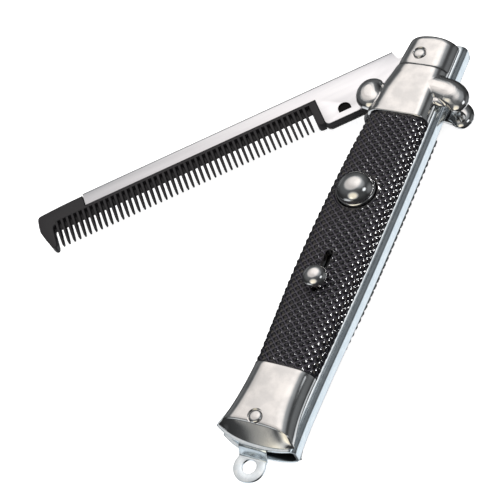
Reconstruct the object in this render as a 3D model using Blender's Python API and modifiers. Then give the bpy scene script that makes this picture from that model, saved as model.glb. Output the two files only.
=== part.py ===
"""Folding pocket comb with a push button handle.

The handle is one sheet steel channel, folded along its back edge, with a key ring tab at its lower
end. Each of its two plates carries a cast end cap, a knurled grip and a cast bolster with a scrolled
guard. The comb is a moulded plastic body in a folded steel cover. It swings between the plates on
the pivot pin, and it stands half way open. The front grip also carries a push button and a slider.

All sizes are in millimetres, and mesh points are turned into metres where a mesh is made.
X runs to the folded back of the handle, Y up the handle to the pivot, Z to the front.
The handle lies on its rear side, whose highest points touch the plane z = 0. Heights are counted
from the lower end of the handle, and the finished part is moved so that its origin lies on the flat
crest of the rear grip.
"""
import math

import bmesh
import bpy
from mathutils import Matrix

MM = 0.001
ORIGIN_Y = 58.0
GAP = 0.15
HOLE_CLEARANCE = 0.2

# Layers of the handle, counted outwards from its middle plane
CHANNEL_HALF = 3.05
SHEET = 0.8
BEND = 1.55
SCALE_HEIGHT = 3.55
SCALE_BASE = CHANNEL_HALF + GAP
MID = SCALE_BASE + SCALE_HEIGHT
FRONT = 1
REAR = -1

# Outline of the handle: height above the lower end, left edge of the plates, right edge of the
# scales, folded back
Y, LEFT, RIGHT, BACK = 0, 1, 2, 3
OUTLINE = (
    (-3.0, -12.2, 9.6, 9.5),
    (1.5, -11.6, 9.2, 9.3),
    (5.0, -10.8, 8.6, 9.2),
    (10.0, -9.8, 7.75, 9.1),
    (15.5, -9.1, 7.5, 9.2),
    (22.0, -8.75, 7.75, 9.35),
    (30.0, -9.0, 8.1, 9.65),
    (43.0, -9.4, 8.55, 10.1),
    (55.0, -9.4, 8.9, 10.4),
    (68.0, -9.05, 9.1, 10.6),
    (82.0, -8.35, 9.2, 10.75),
    (94.0, -7.25, 9.25, 10.8),
    (106.0, -5.95, 9.25, 10.85),
    (114.0, -5.3, 9.25, 10.9),
    (121.5, -4.6, 9.25, 11.0),
    (126.0, -4.3, 9.25, 11.0),
)
CHANNEL_TOP = 121.3
EDGE_STEP = 0.3
BOTTOM_BOW = 2.1
TOP_BOW = 1.5
TOP_MIDDLE = 2.2
BOW_FADE = 9.0

# Where the pieces of a scale meet
CAP_START = 0.75
CAP_LIP = 4.75
CAP_END = 19.9
GRIP_START = 20.1
GRIP_END = 94.95
BOLSTER_START = 95.15
BOLSTER_STEP = 111.0
BOLSTER_END = 121.2

# Pins and rivets
PIVOT = (0.4, 114.8)
PIN_RADIUS = 1.2
HEAD_RADIUS = 1.75
HEAD_DOME = 0.42
HEAD_RECESS = 0.3
END_RIVET = (-1.7, 6.2)

# Key ring tab
TAB_X = -0.9
TAB_WIDTH = 7.3
TAB_DROP_RUN = 1.3
TAB_SINK = 0.06
EYELET_RADIUS = 3.95
EYELET = (-0.95, -3.9)
EYELET_HOLE_RADIUS = 1.76

# Push button and slider on the front grip
CONTROL_X = -0.6
BUTTON_Y = 70.45
BUTTON_RADIUS = 5.0
BUTTON_FLANGE = 5.85
BUTTON_TRAVEL = 0.9
COLLAR_RADIUS = 6.3
SLIDER_Y = 44.1
SLIDER_TRAVEL = 7.4
SLOT_WIDTH = 2.2
SLOT_START = 40.5
SLOT_LENGTH = 12.3
SLIDER_PLATE = (-2.2, 2.2, 39.4, 53.2)
KNOB_RADIUS = 2.95

# Comb, in its own frame: A runs from the pivot to the tip, B from the back to the teeth
COMB_TURN = 221.4
COMB_HALF = 1.45
COVER = 0.3
CORE_HALF = COMB_HALF - COVER - GAP
BACK_B = -8.7
COVER_EDGE_B = -4.4
TANG_A = 29.65
TANG_B = 5.1
COVER_END_A = 97.3
BAR_A = 31.85
TOOTH_COUNT = 47
FIRST_TOOTH_A = 33.5
TOOTH_PITCH = 1.586
TOOTH_ROOT = 0.84
TOOTH_TIP = 0.56
ROOT_B = -1.0
TIP_B = 4.4
TIP_HALF = 0.6
EAR_RADIUS = 4.8


def interpolate(table, y, column):
    """Smooth value of a column at the height y (Catmull and Rom)."""
    last = len(table) - 2
    row = 1
    while row < last - 1 and y > table[row + 1][Y]:
        row += 1
    before, start, end, after = table[row - 1], table[row], table[row + 1], table[min(row + 2, last + 1)]
    span = end[Y] - start[Y]
    t = (y - start[Y]) / span
    slope_start = (end[column] - before[column]) / (end[Y] - before[Y]) * span
    slope_end = (after[column] - start[column]) / (after[Y] - start[Y]) * span
    return (
        (2 * t**3 - 3 * t**2 + 1) * start[column]
        + (t**3 - 2 * t**2 + t) * slope_start
        + (3 * t**2 - 2 * t**3) * end[column]
        + (t**3 - t**2) * slope_end
    )


def edges(y):
    """Left and right edge of the scales."""
    return interpolate(OUTLINE, y, LEFT) + EDGE_STEP, interpolate(OUTLINE, y, RIGHT)


def bottom_bow(x):
    """How far the lower edge rises towards its corners."""
    return BOTTOM_BOW * (abs(x) / 10.4) ** 2.4


def top_bow(x):
    """How far the upper edge falls towards its corners."""
    return TOP_BOW * ((x - TOP_MIDDLE) / 7.5) ** 2


def bowed(x, y):
    """The height y, following the curved ends of the handle near them."""
    low = max(0.0, 1.0 - y / BOW_FADE)
    high = max(0.0, 1.0 - (CHANNEL_TOP - y) / BOW_FADE)
    return y + bottom_bow(x) * low - top_bow(x) * high


def new_collection(name):
    collection = bpy.data.collections.new(name)
    bpy.context.scene.collection.children.link(collection)
    return collection


def finish(name, mesh, smooth_angle=35.0):
    """Make an object of a mesh, in the parts' collection."""
    mesh.set_sharp_from_angle(angle=math.radians(smooth_angle))
    piece = bpy.data.objects.new(name, mesh)
    PARTS.objects.link(piece)
    return piece


def from_bmesh(name, shape):
    bmesh.ops.recalc_face_normals(shape, faces=shape.faces)
    mesh = bpy.data.meshes.new(name)
    shape.to_mesh(mesh)
    shape.free()
    for face in mesh.polygons:
        face.use_smooth = True
    return finish(name, mesh)


def loft(name, rings):
    """Closed solid through rings of points that all have the same count."""
    shape = bmesh.new()
    loops = [[shape.verts.new((x * MM, y * MM, z * MM)) for x, y, z in ring] for ring in rings]
    for lower, upper in zip(loops, loops[1:]):
        for index in range(len(lower)):
            following = (index + 1) % len(lower)
            shape.faces.new((lower[index], lower[following], upper[following], upper[index]))
    shape.faces.new(loops[0])
    shape.faces.new(loops[-1])
    bmesh.ops.triangulate(shape, faces=shape.faces)
    return from_bmesh(name, shape)


def curve_mesh(name, curve):
    """Mesh object made of a curve, with its caps welded."""
    holder = bpy.data.objects.new(name, curve)
    bpy.context.scene.collection.objects.link(holder)
    graph = bpy.context.evaluated_depsgraph_get()
    mesh = bpy.data.meshes.new_from_object(holder.evaluated_get(graph))
    bpy.data.objects.remove(holder)
    shape = bmesh.new()
    shape.from_mesh(mesh)
    bmesh.ops.remove_doubles(shape, verts=shape.verts, dist=0.00001)
    bpy.data.meshes.remove(mesh)
    return from_bmesh(name, shape)


def prism(name, outline, low, high):
    """Flat outline of (x, y) points, filled from z = low to z = high."""
    curve = bpy.data.curves.new(name, "CURVE")
    curve.dimensions = "2D"
    curve.fill_mode = "BOTH"
    curve.extrude = (high - low) / 2 * MM
    spline = curve.splines.new("POLY")
    spline.points.add(len(outline) - 1)
    for point, (x, y) in zip(spline.points, outline):
        point.co = (x * MM, y * MM, 0, 1)
    spline.use_cyclic_u = True
    piece = curve_mesh(name, curve)
    piece.data.transform(Matrix.Translation((0, 0, (low + high) / 2 * MM)))
    return piece


def flat_tube(name, path, squash, level):
    """Round bar through (x, y, radius) points, flattened in Z and lifted to a level."""
    curve = bpy.data.curves.new(name, "CURVE")
    curve.dimensions = "3D"
    curve.bevel_depth = MM
    curve.bevel_resolution = 3
    curve.use_fill_caps = True
    spline = curve.splines.new("POLY")
    spline.points.add(len(path) - 1)
    for point, (x, y, radius) in zip(spline.points, path):
        point.co = (x * MM, y * MM, 0, 1)
        point.radius = radius
    piece = curve_mesh(name, curve)
    piece.data.transform(Matrix.Translation((0, 0, level * MM)) @ Matrix.Diagonal((1, 1, squash, 1)))
    return piece


def rod(name, centre, radius, low, high, sides=24):
    """Upright cylinder."""
    shape = bmesh.new()
    bmesh.ops.create_cone(
        shape, cap_ends=True, segments=sides, radius1=radius * MM, radius2=radius * MM,
        depth=(high - low) * MM,
    )
    place = Matrix.Translation((centre[0] * MM, centre[1] * MM, (low + high) / 2 * MM))
    bmesh.ops.transform(shape, matrix=place, verts=shape.verts)
    return from_bmesh(name, shape)


def turned(name, centre, profile, sides=24):
    """Solid turned about an upright axis; the profile runs from the top to the bottom."""
    mesh = bpy.data.meshes.new(name)
    points = [(radius * MM, 0, z * MM) for radius, z in profile]
    mesh.from_pydata(points, [(i, i + 1) for i in range(len(points) - 1)], [])
    piece = finish(name, mesh)
    piece.location = (centre[0] * MM, centre[1] * MM, 0)
    screw = piece.modifiers.new("Turn", "SCREW")
    screw.steps = sides
    screw.render_steps = sides
    screw.use_merge_vertices = True
    screw.merge_threshold = 0.00001
    screw.use_smooth_shade = True
    return piece


def box(name, x_range, y_range, z_range):
    shape = bmesh.new()
    bmesh.ops.create_cube(shape, size=1.0)
    sizes = [(high - low) * MM for low, high in (x_range, y_range, z_range)]
    middle = [(high + low) / 2 * MM for low, high in (x_range, y_range, z_range)]
    bmesh.ops.transform(
        shape, matrix=Matrix.Translation(middle) @ Matrix.Diagonal((*sizes, 1)), verts=shape.verts
    )
    return from_bmesh(name, shape)


def combine(piece, tool, operation):
    """Boolean of a piece with a tool, which moves to the cutters' collection."""
    PARTS.objects.unlink(tool)
    CUTTERS.objects.link(tool)
    tool.hide_render = True
    tool.display_type = "WIRE"
    modifier = piece.modifiers.new(tool.name, "BOOLEAN")
    modifier.operation = operation
    modifier.solver = "EXACT"
    modifier.object = tool


def cut(piece, tool):
    combine(piece, tool, "DIFFERENCE")


def join(piece, tool):
    combine(piece, tool, "UNION")


def material(name, colour, metallic, roughness):
    shader = bpy.data.materials.new(name)
    shader.use_nodes = True
    surface = shader.node_tree.nodes["Principled BSDF"]
    surface.inputs["Base Color"].default_value = (*colour, 1)
    surface.inputs["Metallic"].default_value = metallic
    surface.inputs["Roughness"].default_value = roughness
    shader.diffuse_color = (*colour, 1)
    return shader


def arc(centre, radius, start, end, steps):
    """Points on a circle, between two angles in degrees."""
    points = []
    for step in range(steps + 1):
        angle = math.radians(start + (end - start) * step / steps)
        points.append((centre[0] + radius * math.cos(angle), centre[1] + radius * math.sin(angle)))
    return points


def scale_level(side, height):
    """World z of a height above the underside of a scale."""
    return MID + side * (SCALE_BASE + height)


def level_range(side, low, high):
    return sorted((scale_level(side, low), scale_level(side, high)))


def channel_section(y):
    """Outer and inner face of the folded sheet at the height y, from the front plate to the rear."""
    left = interpolate(OUTLINE, y, LEFT)
    flat = interpolate(OUTLINE, y, BACK) - BEND
    steps = (0.0, 0.12, 0.3, 0.55, 0.8)
    across = [left + (flat - left) * step for step in steps]
    faces = []
    for half, bend in ((CHANNEL_HALF, BEND), (CHANNEL_HALF - SHEET, BEND - SHEET)):
        face = [(x, half) for x in across]
        face += arc((flat, half - bend), bend, 90, 0, 3) + arc((flat, bend - half), bend, 0, -90, 3)
        face += [(x, -half) for x in reversed(across)]
        faces.append([(x, bowed(x, y), MID + z) for x, z in face])
    return faces


def folded_sheet(name, sections):
    """Closed solid of a folded sheet, through sections of an outer and an inner face."""
    shape = bmesh.new()
    grid = [[[shape.verts.new((x * MM, y * MM, z * MM)) for x, y, z in face] for face in section]
            for section in sections]
    count = len(grid[0][0])
    for lower, upper in zip(grid, grid[1:]):
        for low_face, high_face in zip(lower, upper):
            for index in range(count - 1):
                following = index + 1
                corners = (low_face[index], low_face[following], high_face[following], high_face[index])
                shape.faces.new(corners)
        for index in (0, -1):
            shape.faces.new((lower[0][index], lower[1][index], upper[1][index], upper[0][index]))
    for outer, inner in (grid[0], grid[-1]):
        for index in range(count - 1):
            shape.faces.new((outer[index], outer[index + 1], inner[index + 1], inner[index]))
    bmesh.ops.triangulate(shape, faces=shape.faces)
    return from_bmesh(name, shape)


def add_tab(channel):
    """Key ring tab, stepped down from the front plate's lower edge to the middle plane."""
    top, under = CHANNEL_HALF - TAB_SINK, CHANNEL_HALF - SHEET + TAB_SINK
    low, high = TAB_SINK / 2 - SHEET / 2, SHEET / 2 - TAB_SINK / 2
    end = EYELET[1] + 0.45
    side_view = (
        (3.2, top), (-0.2, top), (-0.2 - TAB_DROP_RUN, high), (end, high),
        (end, low), (0.25 - TAB_DROP_RUN, low), (0.25, under), (3.2, under),
    )
    half = TAB_WIDTH / 2
    tab = loft("tab", [[(x, y, MID + z) for y, z in side_view] for x in (TAB_X - half, TAB_X + half)])
    join(channel, tab)
    join(channel, rod("eyelet", EYELET, EYELET_RADIUS, MID - SHEET / 2, MID + SHEET / 2, 32))
    cut(channel, rod("eyelet_hole", EYELET, EYELET_HOLE_RADIUS, MID - 1, MID + 1))


def make_channel():
    heights = (0.0, 3.0, BOW_FADE, 15.5, 22.0, 30.0, 43.0, 55.0, 68.0, 82.0, 94.0, 106.0,
               CHANNEL_TOP - BOW_FADE, 117.0, CHANNEL_TOP)
    channel = folded_sheet("channel", [channel_section(y) for y in heights])
    add_tab(channel)
    hole = PIN_RADIUS + HOLE_CLEARANCE
    cut(channel, rod("pivot_hole", PIVOT, hole, MID - 5, MID + 5))
    cut(channel, rod("end_rivet_holes", END_RIVET, hole, MID - 5, MID + 5))
    return channel


def scale_ring(side, y, height, crown_left, crown_right, inset=0.0):
    """Section of a cast cap: steep walls, rounded shoulders and a broad flat crown."""
    left, right = edges(y)
    left += inset
    right -= inset
    section = [
        (left, 0.0), (left, 0.2 * height), (left + 0.3 * crown_left, 0.62 * height),
        (left + 0.62 * crown_left, 0.86 * height), (left + crown_left, 0.965 * height),
        (left + 1.7 * crown_left, height), (right - 1.7 * crown_right, height),
        (right - crown_right, 0.965 * height), (right - 0.62 * crown_right, 0.86 * height),
        (right - 0.3 * crown_right, 0.62 * height), (right, 0.2 * height), (right, 0.0),
    ]
    section += [(right + (left - right) * step / 4, 0.0) for step in (1, 2, 3)]
    return [(x, bowed(x, y), scale_level(side, z)) for x, z in section]


def head_recess(piece, side, centre, floor):
    """Flat seat for a rivet head, and the hole for its shank."""
    low, high = level_range(side, floor, floor + 4)
    cut(piece, rod(piece.name + "_seat", centre, HEAD_RADIUS + HOLE_CLEARANCE, low, high))
    low, high = level_range(side, -1, floor + 4)
    cut(piece, rod(piece.name + "_hole", centre, PIN_RADIUS + HOLE_CLEARANCE, low, high))


# Cast caps: height along the handle, thickness, left shoulder, right shoulder, inset of the edges
CAP_SECTIONS = (
    (CAP_START, 0.3, 2.6, 2.2, 0.4),
    (CAP_LIP - 0.5, 2.75, 2.9, 2.4, 0.0),
    (CAP_LIP, 3.05, 2.9, 2.4, 0.0),
    (CAP_LIP + 1.2, 3.25, 2.9, 2.3, 0.0),
    (10.0, 3.35, 2.8, 2.0, 0.0),
    (15.0, 3.45, 2.8, 2.0, 0.0),
    (CAP_END - 0.5, 3.5, 2.8, 2.0, 0.0),
    (CAP_END, 3.4, 2.8, 2.0, 0.0),
)
BOLSTER_SECTIONS = (
    (BOLSTER_START, 3.5, 3.2, 2.1, 0.0),
    (BOLSTER_START + 0.3, 3.55, 3.2, 2.1, 0.0),
    (BOLSTER_START + 0.9, 3.5, 3.4, 2.0, 0.0),
    (102.5, 3.5, 3.9, 2.0, 0.0),
    (BOLSTER_STEP - 0.7, 3.55, 4.4, 2.1, 0.0),
    (BOLSTER_STEP, 3.4, 4.3, 2.3, 0.0),
    (BOLSTER_STEP + 0.35, 3.0, 3.6, 2.5, 0.0),
    (116.0, 3.0, 3.3, 2.5, 0.0),
    (BOLSTER_END - 1.3, 2.95, 3.2, 2.5, 0.0),
    (BOLSTER_END - 0.4, 2.6, 3.2, 2.6, 0.1),
    (BOLSTER_END, 1.9, 3.2, 2.8, 0.4),
)
# Scrolls of the guard: x, y, radius in the plane of the plates
LEFT_SCROLL = (
    (-4.5, 98.7, 2.4), (-7.2, 98.3, 2.9), (-8.8, 98.6, 3.15), (-9.5, 99.7, 3.1), (-9.75, 101.3, 2.95),
    (-9.8, 102.9, 2.5), (-9.75, 104.2, 1.75),
)
RIGHT_SCROLL = (
    (5.5, 106.2, 3.0), (8.6, 106.1, 3.3), (11.4, 105.7, 3.4), (13.3, 105.0, 3.3), (14.6, 104.0, 3.0),
    (15.0, 102.8, 2.55), (15.0, 101.5, 1.95), (14.7, 100.5, 1.3),
)
SCROLL_SQUASH = 0.54
SCROLL_LEVEL = 1.78
SIDE_NAMES = {FRONT: "front", REAR: "rear"}


def make_end_cap(side):
    rings = [scale_ring(side, *row) for row in CAP_SECTIONS]
    cap = loft(SIDE_NAMES[side] + "_end_cap", rings)
    head_recess(cap, side, END_RIVET, 3.0)
    return cap


def make_bolster(side):
    name = SIDE_NAMES[side] + "_bolster"
    bolster = loft(name, [scale_ring(side, *row) for row in BOLSTER_SECTIONS])
    level = scale_level(side, SCROLL_LEVEL)
    join(bolster, flat_tube(name + "_left_scroll", LEFT_SCROLL, SCROLL_SQUASH, level))
    join(bolster, flat_tube(name + "_right_scroll", RIGHT_SCROLL, SCROLL_SQUASH, level))
    head_recess(bolster, side, PIVOT, 2.7)
    return bolster


GRIP_HEIGHT = SCALE_HEIGHT
GRIP_ROUNDNESS = 2.5
GRIP_STEPS = 14


def grip_ring(side, y):
    """Section of the grip: a flattened dome over a flat underside."""
    left, right = edges(y)
    middle, half = (left + right) / 2, (right - left) / 2
    section = []
    for step in range(GRIP_STEPS + 1):
        angle = math.pi * step / GRIP_STEPS
        along, up = math.cos(angle), math.sin(angle)
        x = middle - half * math.copysign(abs(along) ** (2 / GRIP_ROUNDNESS), along)
        section.append((x, GRIP_HEIGHT * up ** (2 / GRIP_ROUNDNESS)))
    crest = GRIP_STEPS // 2
    shelf = section[crest - 1][0] * 0.45 + section[crest][0] * 0.55
    other = section[crest + 1][0] * 0.45 + section[crest][0] * 0.55
    section[crest:crest + 1] = [(shelf, GRIP_HEIGHT), (other, GRIP_HEIGHT)]
    return [(x, y, scale_level(side, max(z, 0.0))) for x, z in section]


def slot_outline(start, end, width):
    """Lengthwise slot with round ends."""
    radius = width / 2
    lower = arc((CONTROL_X, start + radius), radius, 180, 360, 8)
    upper = arc((CONTROL_X, end - radius), radius, 0, 180, 8)
    return lower + upper


def make_grip(side):
    heights = (GRIP_START, 26.0, 32.0, 38.0, 44.0, 50.0, 56.0, 62.0, 69.0, 76.0, 83.0, 89.0, GRIP_END)
    return loft(SIDE_NAMES[side] + "_grip", [grip_ring(side, y) for y in heights])


def open_controls(grip):
    """Collar, bore and pockets for the button and the slider in the front grip."""
    button = (CONTROL_X, BUTTON_Y)
    low, high = level_range(FRONT, 2.0, SCALE_HEIGHT)
    join(grip, rod("collar", button, COLLAR_RADIUS, low, high, 32))
    low, high = level_range(FRONT, -1, 1.95)
    cut(grip, rod("button_pocket", button, BUTTON_FLANGE + 0.25, low, high, 32))
    low, high = level_range(FRONT, 1.0, 6.0)
    cut(grip, rod("button_bore", button, BUTTON_RADIUS + 0.25, low, high, 32))
    x_low, x_high, y_low, y_high = SLIDER_PLATE
    pocket_x = (CONTROL_X + x_low - 0.3, CONTROL_X + x_high + 0.3)
    pocket_y = (y_low - 0.4, y_high + SLIDER_TRAVEL + 0.4)
    cut(grip, box("slider_pocket", pocket_x, pocket_y, level_range(FRONT, -1, 1.3)))
    outline = slot_outline(SLOT_START, SLOT_START + SLOT_LENGTH, SLOT_WIDTH)
    low, high = level_range(FRONT, 1.0, 6.0)
    cut(grip, prism("slider_slot", outline, low, high))


def make_button():
    """Domed button with a trapped flange."""
    base = scale_level(FRONT, 0.0)
    flange = base + 0.1 + BUTTON_TRAVEL
    neck = base + SCALE_HEIGHT + 0.75
    profile = [(0.0, neck + 3.1)]
    for step in range(1, 7):
        angle = math.radians(15 * step)
        profile.append((BUTTON_RADIUS * math.sin(angle), neck + 3.1 * math.cos(angle)))
    profile += [
        (BUTTON_RADIUS, flange + 0.7), (BUTTON_FLANGE, flange + 0.7), (BUTTON_FLANGE, flange), (0.0, flange),
    ]
    return turned("button", (CONTROL_X, BUTTON_Y), profile, 32)


def make_slider():
    """Mushroom knob on a stem, joined to the plate that runs under the grip."""
    base = scale_level(FRONT, 0.0)
    plate_low, plate_high = base + 0.2, base + 1.0
    x_low, x_high, y_low, y_high = SLIDER_PLATE
    slider = box("slider", (CONTROL_X + x_low, CONTROL_X + x_high), (y_low, y_high), (plate_low, plate_high))
    under = base + SCALE_HEIGHT + 0.55
    widest = under + 0.75
    crown = 2.3
    profile = [(0.0, widest + crown)]
    for step in range(1, 6):
        angle = math.radians(18 * step)
        profile.append((KNOB_RADIUS * math.sin(angle), widest + crown * math.cos(angle)))
    profile += [(KNOB_RADIUS * 0.72, under), (0.8, under), (0.8, plate_high - 0.4), (0.0, plate_high - 0.4)]
    join(slider, turned("knob", (CONTROL_X, SLIDER_Y), profile))
    return slider


def rivet_profile(low_end, seat, top):
    """Head and shank, from the crown of the head down."""
    return [
        (0.0, top), (HEAD_RADIUS * 0.5, top - 0.08), (HEAD_RADIUS * 0.86, top - 0.24),
        (HEAD_RADIUS, seat + 0.1), (HEAD_RADIUS, seat), (PIN_RADIUS, seat), (PIN_RADIUS, low_end),
        (0.0, low_end),
    ]


def make_pivot_pin():
    """Pin through both bolsters, the channel and the comb, with a head at each end."""
    seat = SCALE_BASE + 2.7 + GAP
    top = seat + HEAD_DOME
    half = rivet_profile(0.0, seat, top)[:-1]
    profile = [(radius, MID + z) for radius, z in half]
    profile += [(radius, MID - z) for radius, z in reversed(half[:-1])]
    return turned("pivot_pin", PIVOT, profile)


def make_end_rivet(side):
    """Short rivet that holds an end cap to its own plate, clear of the comb's space."""
    seat = SCALE_BASE + 3.0 + GAP
    tail = CHANNEL_HALF - SHEET + 0.1
    profile = [(radius, MID + side * z) for radius, z in rivet_profile(tail, seat, seat + HEAD_DOME - 0.05)]
    if side == REAR:
        profile.reverse()
    return turned(SIDE_NAMES[side] + "_end_rivet", END_RIVET, profile)


def make_comb_plate():
    """Steel cover, folded over the comb's back and open along the teeth."""
    corner = 1.3
    ear = arc((0, 0), EAR_RADIUS, 262, 96, 14)
    outline = [(COVER_END_A, BACK_B), (5.7, BACK_B), (5.1, BACK_B + 3.4)] + ear
    outline += [(6.0, TANG_B)]
    outline += arc((TANG_A - corner, TANG_B - corner), corner, 90, 0, 4)
    outline += [(TANG_A, COVER_EDGE_B), (COVER_END_A, COVER_EDGE_B)]
    cover = prism("comb_plate", outline, -COMB_HALF, COMB_HALF)
    fold = BACK_B + COVER
    hollow = [(COVER_END_A + 5, fold), (-9, fold), (-9, 9), (COVER_END_A + 5, 9)]
    inner = COMB_HALF - COVER
    cut(cover, prism("cover_hollow", hollow, -inner, inner))
    flat_b, round_b, reach = 3.25, 0.55, 1.75
    middle = 23.55
    notch = arc((middle, round_b + reach), reach, 180, 360, 10)
    notch += [(middle + reach, flat_b), (middle - reach, flat_b)]
    cut(cover, prism("cover_window", notch, -3, 3))
    cut(cover, rod("cover_pivot_hole", (0, 0), PIN_RADIUS + HOLE_CLEARANCE, -3, 3))
    return cover


def teeth_outline():
    """Toothed edge, from the bar towards the tip."""
    points = []
    for index in range(TOOTH_COUNT):
        middle = FIRST_TOOTH_A + TOOTH_PITCH * index
        root, tip = TOOTH_ROOT / 2, TOOTH_TIP / 2
        points += [(middle - root, ROOT_B), (middle - tip, TIP_B - 0.25), (middle, TIP_B)]
        points += [(middle + tip, TIP_B - 0.25), (middle + root, ROOT_B)]
    return points


def thin_teeth(core):
    """Taper the teeth in thickness, from their roots to their tips."""
    root_half, clear = COMB_HALF + 0.05, COMB_HALF + 2
    for side in (FRONT, REAR):
        wedge = [(ROOT_B, root_half), (TIP_B + 1, TIP_HALF), (TIP_B + 1, clear), (ROOT_B, clear)]
        ends = (TANG_A + 0.5, COVER_END_A + 20)
        cut(core, loft("tooth_wedge", [[(a, b, side * z) for b, z in wedge] for a in ends]))


def make_comb_core():
    """Plastic body: a thin web inside the cover, and full thickness at the bar, teeth and tip."""
    top = COVER_EDGE_B + GAP
    end = COVER_END_A + GAP
    outline = [(TANG_A + GAP, top), (TANG_A + GAP, TIP_B - 0.1), (BAR_A, TIP_B - 0.1), (BAR_A, ROOT_B)]
    outline += teeth_outline()
    outline += [
        (107.8, ROOT_B), (107.85, 3.5), (108.15, 4.5), (108.7, 4.75), (109.4, 4.1), (110.35, 0.7),
        (111.3, -2.3), (111.4, -4.0), (111.3, -6.2), (110.9, -7.1), (110.0, -7.4), (104.0, -7.75),
        (end, -7.95), (end, top),
    ]
    core = prism("comb_core", outline, -COMB_HALF, COMB_HALF)
    thin_teeth(core)
    inset = 0.6
    back = BACK_B + COVER + GAP
    ear = arc((0, 0), EAR_RADIUS - inset, 262, 96, 12)
    web = [(end + 2, back), (6.5, back), (5.9, BACK_B + 3.4)] + ear
    web += [(6.0, TANG_B - 0.15), (TANG_A - 1.0, TANG_B - 0.15), (TANG_A + 1.5, TANG_B - 0.9)]
    web += [(TANG_A + 1.5, top + 1.5), (end + 2, top + 1.5)]
    join(core, prism("core_web", web, -CORE_HALF, CORE_HALF))
    cut(core, rod("core_pivot_hole", (0, 0), PIN_RADIUS + HOLE_CLEARANCE, -3, 3))
    return core


def carry(piece, hinge):
    """Hang a piece on the hinge, in the hinge's own frame."""
    piece.parent = hinge
    for modifier in piece.modifiers:
        if modifier.type == "BOOLEAN":
            modifier.object.parent = hinge


def build():
    channel = make_channel()
    paint = {channel: "zinc_plated_steel"}
    for side in (FRONT, REAR):
        paint[make_end_cap(side)] = "polished_nickel"
        paint[make_bolster(side)] = "polished_nickel"
        paint[make_end_rivet(side)] = "polished_nickel"
        grip = make_grip(side)
        paint[grip] = "black_grip"
        if side == FRONT:
            open_controls(grip)
    paint[make_pivot_pin()] = "polished_nickel"
    paint[make_button()] = "polished_nickel"
    paint[make_slider()] = "polished_nickel"
    hinge = bpy.data.objects.new("comb_hinge", None)
    PARTS.objects.link(hinge)
    hinge.location = (PIVOT[0] * MM, PIVOT[1] * MM, MID * MM)
    hinge.rotation_euler = (0, 0, math.radians(COMB_TURN))
    plate, core = make_comb_plate(), make_comb_core()
    carry(plate, hinge)
    carry(core, hinge)
    paint[plate] = "brushed_steel"
    paint[core] = "black_comb_plastic"
    finishes = {
        "zinc_plated_steel": material("zinc_plated_steel", (0.80, 0.83, 0.84), 1.0, 0.28),
        "polished_nickel": material("polished_nickel", (0.78, 0.75, 0.72), 1.0, 0.12),
        "black_grip": material("black_grip", (0.02, 0.02, 0.022), 0.0, 0.3),
        "brushed_steel": material("brushed_steel", (0.80, 0.80, 0.80), 1.0, 0.35),
        "black_comb_plastic": material("black_comb_plastic", (0.035, 0.035, 0.035), 0.0, 0.5),
    }
    for piece, finish_name in paint.items():
        piece.data.materials.append(finishes[finish_name])
    for piece in list(PARTS.objects) + list(CUTTERS.objects):
        if piece.parent is None:
            piece.location.y -= ORIGIN_Y * MM


for old in list(bpy.data.objects):
    bpy.data.objects.remove(old)
PARTS = new_collection("folding_comb")
CUTTERS = new_collection("cutters")
build()
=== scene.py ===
"""Looks of the folding pocket comb.

The handle is a folded sheet steel channel between polished castings and knurled black grips. The
comb is black plastic in a folded cover of satin steel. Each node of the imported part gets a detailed
piece in its place. Sizes are in millimetres until a mesh is finished. Handle heights are counted
from the lower end of the handle, and comb sizes run from the pivot: A to the tip, B to the teeth.
"""
import math
from bisect import bisect_right

import bmesh
import bpy
from mathutils import Matrix, Vector


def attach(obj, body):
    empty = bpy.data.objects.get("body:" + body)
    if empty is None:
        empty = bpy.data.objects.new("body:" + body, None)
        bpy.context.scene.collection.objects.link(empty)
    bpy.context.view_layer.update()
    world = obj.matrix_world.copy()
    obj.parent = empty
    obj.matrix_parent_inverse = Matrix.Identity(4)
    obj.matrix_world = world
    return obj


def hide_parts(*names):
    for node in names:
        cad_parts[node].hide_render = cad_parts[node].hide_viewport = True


MM = 0.001
# Height of the frame's origin along the handle, and level of the middle plane
ORIGIN_Y = 58.0
MID = 6.75
# From the middle plane to the underside of the scales, and how much flatter the rear ones are
SCALE_BASE = 3.2
REAR_SQUASH = 0.955
FRONT, REAR = 1, -1
SIDE_NAMES = {FRONT: "front", REAR: "rear"}

# Height above the lower end, left edge of the plates, right edge of the scales, outside of the fold
Y, LEFT, RIGHT, BACK = 0, 1, 2, 3
OUTLINE = (
    (-3.0, -12.2, 9.6, 9.5),
    (1.5, -11.6, 9.2, 9.3),
    (5.0, -10.8, 8.6, 9.2),
    (10.0, -9.8, 7.75, 9.1),
    (15.5, -9.1, 7.5, 9.2),
    (22.0, -8.75, 7.75, 9.35),
    (30.0, -9.0, 8.1, 9.65),
    (43.0, -9.4, 8.55, 10.1),
    (55.0, -9.4, 8.9, 10.4),
    (68.0, -9.05, 9.1, 10.6),
    (82.0, -8.35, 9.2, 10.75),
    (94.0, -7.25, 9.25, 10.8),
    (106.0, -5.95, 9.25, 10.85),
    (114.0, -5.3, 9.25, 10.9),
    (121.5, -4.6, 9.25, 11.0),
    (126.0, -4.3, 9.25, 11.0),
)
EDGE_STEP = 0.3
CHANNEL_TOP = 121.27
CAP_START, CAP_END = 0.75, 19.95
GRIP_START, GRIP_END = 20.05, 95.0
BOLSTER_START, BOLSTER_END = 95.1, 121.2
PIVOT = (0.4, 114.8)
END_RIVET = (-1.7, 6.2)
EYELET = (-0.95, -3.9)
CONTROL_X, BUTTON_Y, SLIDER_Y = -0.6, 70.45, 44.1
SLOT_LOW, SLOT_HIGH, SLOT_HALF = 41.6, 51.7, 0.95
HEAD_RADIUS, SEAT_RADIUS, SHANK_RADIUS, BORE_RADIUS = 1.7, 1.98, 1.2, 1.4
COMB_TURN = math.radians(221.4)
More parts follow.
